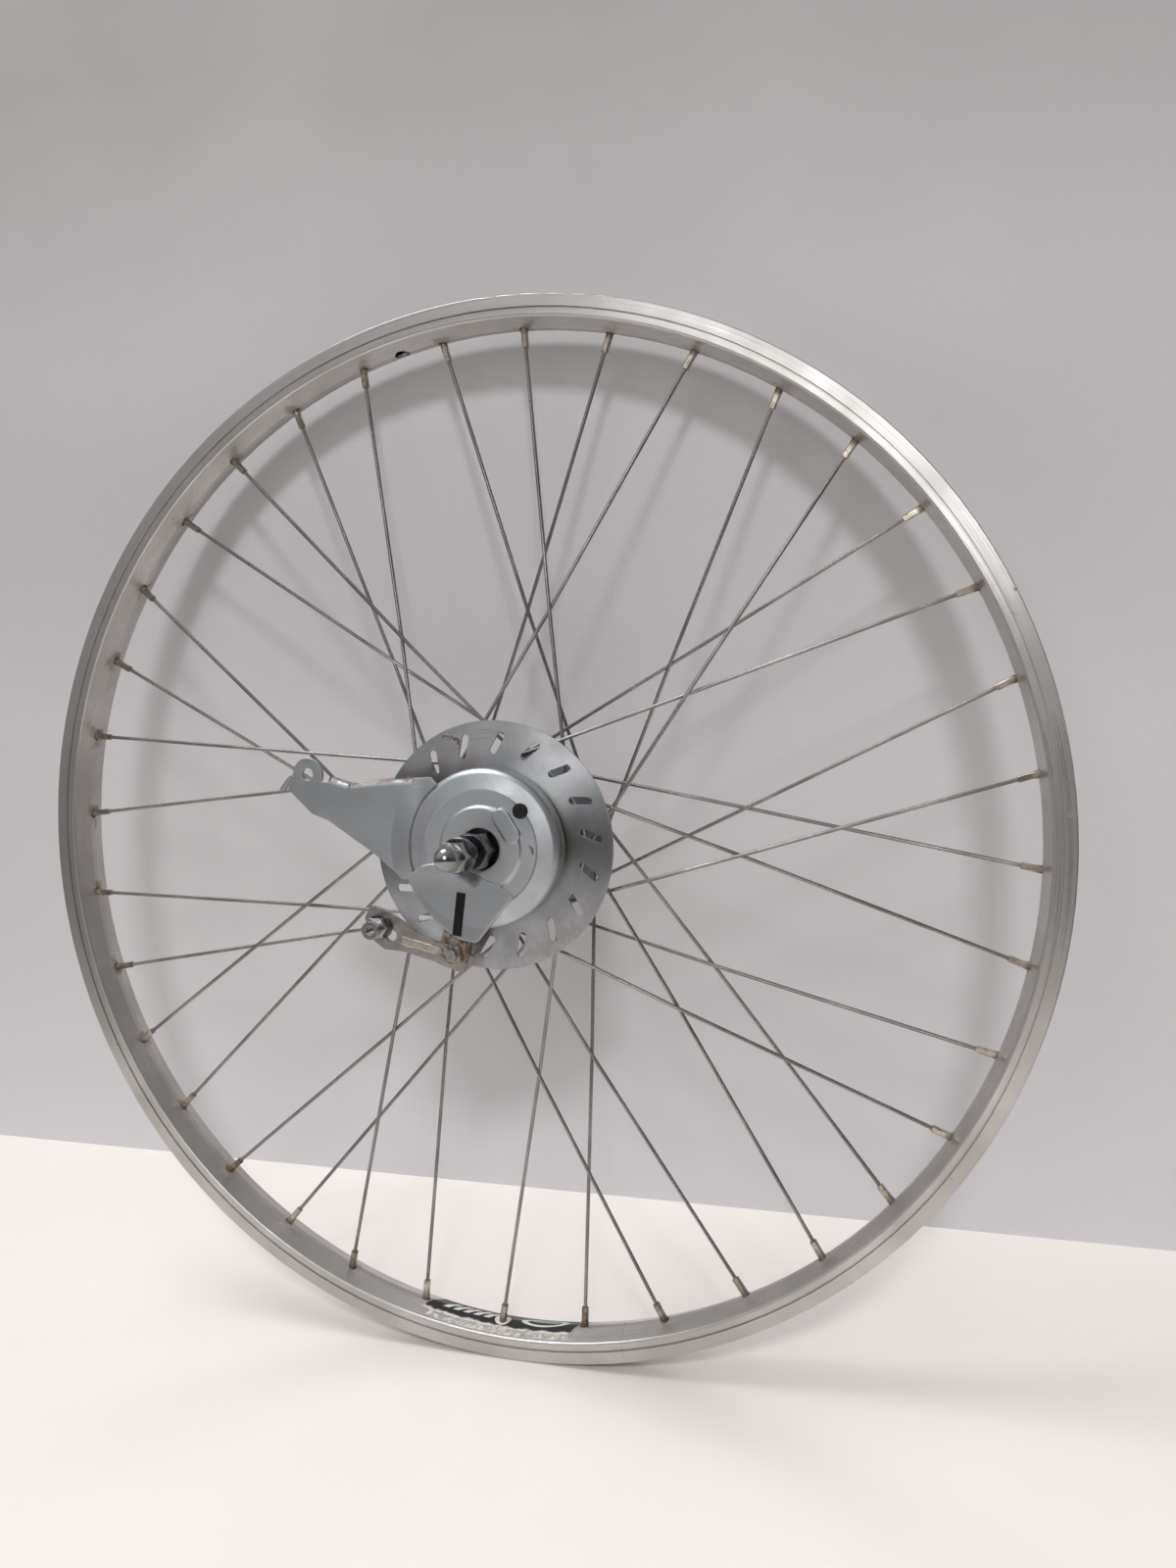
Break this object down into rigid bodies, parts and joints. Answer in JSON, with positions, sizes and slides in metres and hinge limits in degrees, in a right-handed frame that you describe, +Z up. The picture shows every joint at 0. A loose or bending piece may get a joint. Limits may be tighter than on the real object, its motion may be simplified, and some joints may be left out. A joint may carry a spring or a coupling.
{
  "type": "bicycle wheel",
  "caption": "Rear bicycle wheel without tyre: box-section rim, laced wire spokes, hub with roller brake, slotted cooling disc, reaction arm and lever.",
  "frame": {"origin": "on the axle in the middle of the rim", "axes": "+Y along the axle away from the brake side, +Z up, +X to the right seen from the brake side"},
  "size_m": [0.572, 0.198, 0.572],
  "materials": {
    "rim_aluminium": "satin anodised",
    "spoke_steel": "dull drawn wire",
    "nipple_plate": "tarnished plate",
    "hub_aluminium": "satin",
    "disc_steel": "turned, a little rust",
    "drum_iron": "machined",
    "zinc_plate": "satin zinc plate, rust on edges",
    "lever_plate": "zinc plate with rust",
    "cap_chrome": "bright",
    "dark_steel": "dark oxide, oily",
    "axle_steel": "oily thread",
    "bearing_steel": "ground",
    "bush_metal": "turned",
    "shoe_steel": "plain",
    "spring_steel": "oil tempered",
    "sprocket_steel": "plain",
    "clamp_plate": "zinc plate",
    "plug_rubber": "matte"
  },
  "bodies": {
    "axle_and_brake": {"axle": "axle_steel", "left_cone": "bearing_steel", "right_cone": "bearing_steel", "brake_fixing_nut": "dark_steel", "left_washer": "dark_steel", "right_washer": "dark_steel", "left_cap_nut": "cap_chrome", "right_cap_nut": "cap_chrome", "right_spacer": "clamp_plate", "right_locknut": "dark_steel", "brake_cover": "zinc_plate", "brake_bush": "bush_metal", "grease_plug": "plug_rubber", "roller_plate": "zinc_plate", "anchor_pins": "bearing_steel"},
    "wheel": {"rim": "rim_aluminium", "spoke_nipples": "nipple_plate", "spokes_left_heads_in": "spoke_steel", "spokes_left_heads_out": "spoke_steel", "spokes_right_heads_in": "spoke_steel", "spokes_right_heads_out": "spoke_steel", "hub_shell": "hub_aluminium", "left_bearing_cup": "bearing_steel", "right_bearing_cup": "bearing_steel", "clutch_race": "bearing_steel", "right_dust_cover": "zinc_plate", "left_dust_cap": "dark_steel", "brake_drum": "drum_iron", "cooling_disc": "disc_steel", "disc_rivets": "clamp_plate"},
    "left_bearing": {"left_balls": "bearing_steel", "left_ball_retainer": "bearing_steel"},
    "right_bearing": {"right_balls": "bearing_steel", "right_ball_retainer": "bearing_steel"},
    "driver_unit": {"driver": "sprocket_steel", "driver_bush": "bush_metal", "clutch_rollers": "bearing_steel", "clutch_plate": "zinc_plate", "sprocket": "sprocket_steel", "snap_ring": "spring_steel"},
    "lever_unit": {"brake_cam": "shoe_steel", "cam_arm": "lever_plate", "brake_lever": "lever_plate", "lever_rivet": "clamp_plate", "return_spring": "spring_steel", "cable_clamp_bolt": "clamp_plate", "cable_clamp_washer": "dark_steel", "cable_clamp_nut": "dark_steel"},
    "shoe_1": {"brake_shoe_1": "shoe_steel", "shoe_rollers_1": "bearing_steel"},
    "shoe_2": {"brake_shoe_2": "shoe_steel", "shoe_rollers_2": "bearing_steel"},
    "shoe_3": {"brake_shoe_3": "shoe_steel", "shoe_rollers_3": "bearing_steel"}
  },
  "joints": [
    {"name": "wheel_spin", "type": "hinge", "parent": "axle_and_brake", "child": "wheel", "pos_m": [0, 0, 0], "axis": [0, 1, 0], "continuous": true},
    {"name": "left_bearing_spin", "type": "hinge", "parent": "axle_and_brake", "child": "left_bearing", "pos_m": [0, -0.024, 0], "axis": [0, 1, 0], "continuous": true},
    {"name": "right_bearing_spin", "type": "hinge", "parent": "axle_and_brake", "child": "right_bearing", "pos_m": [0, 0.015, 0], "axis": [0, 1, 0], "continuous": true},
    {"name": "driver_spin", "type": "hinge", "parent": "axle_and_brake", "child": "driver_unit", "pos_m": [0, 0.034, 0], "axis": [0, 1, 0], "continuous": true},
    {"name": "brake_lever_pull", "type": "hinge", "parent": "axle_and_brake", "child": "lever_unit", "pos_m": [0, -0.045, 0], "axis": [0, 1, 0], "range_deg": [0, 18], "stiffness_Nm_per_rad": 0.8, "springref_deg": -17.19},
    {"name": "shoe_1_press", "type": "slide", "parent": "axle_and_brake", "child": "shoe_1", "axis": [-0.2588, 0, -0.9659], "range_m": [0, 0.0004]},
    {"name": "shoe_2_press", "type": "slide", "parent": "axle_and_brake", "child": "shoe_2", "axis": [0.9659, 0, 0.2588], "range_m": [0, 0.0004]},
    {"name": "shoe_3_press", "type": "slide", "parent": "axle_and_brake", "child": "shoe_3", "axis": [-0.7071, 0, 0.7071], "range_m": [0, 0.0004]}
  ],
  "couplings": [
    {"joint": "left_bearing_spin", "follows": "wheel_spin", "ratio": 0.4},
    {"joint": "right_bearing_spin", "follows": "wheel_spin", "ratio": 0.4},
    {"joint": "shoe_1_press", "follows": "brake_lever_pull", "m_per_rad": 0.0012732},
    {"joint": "shoe_2_press", "follows": "brake_lever_pull", "m_per_rad": 0.0012732},
    {"joint": "shoe_3_press", "follows": "brake_lever_pull", "m_per_rad": 0.0012732}
  ]
}
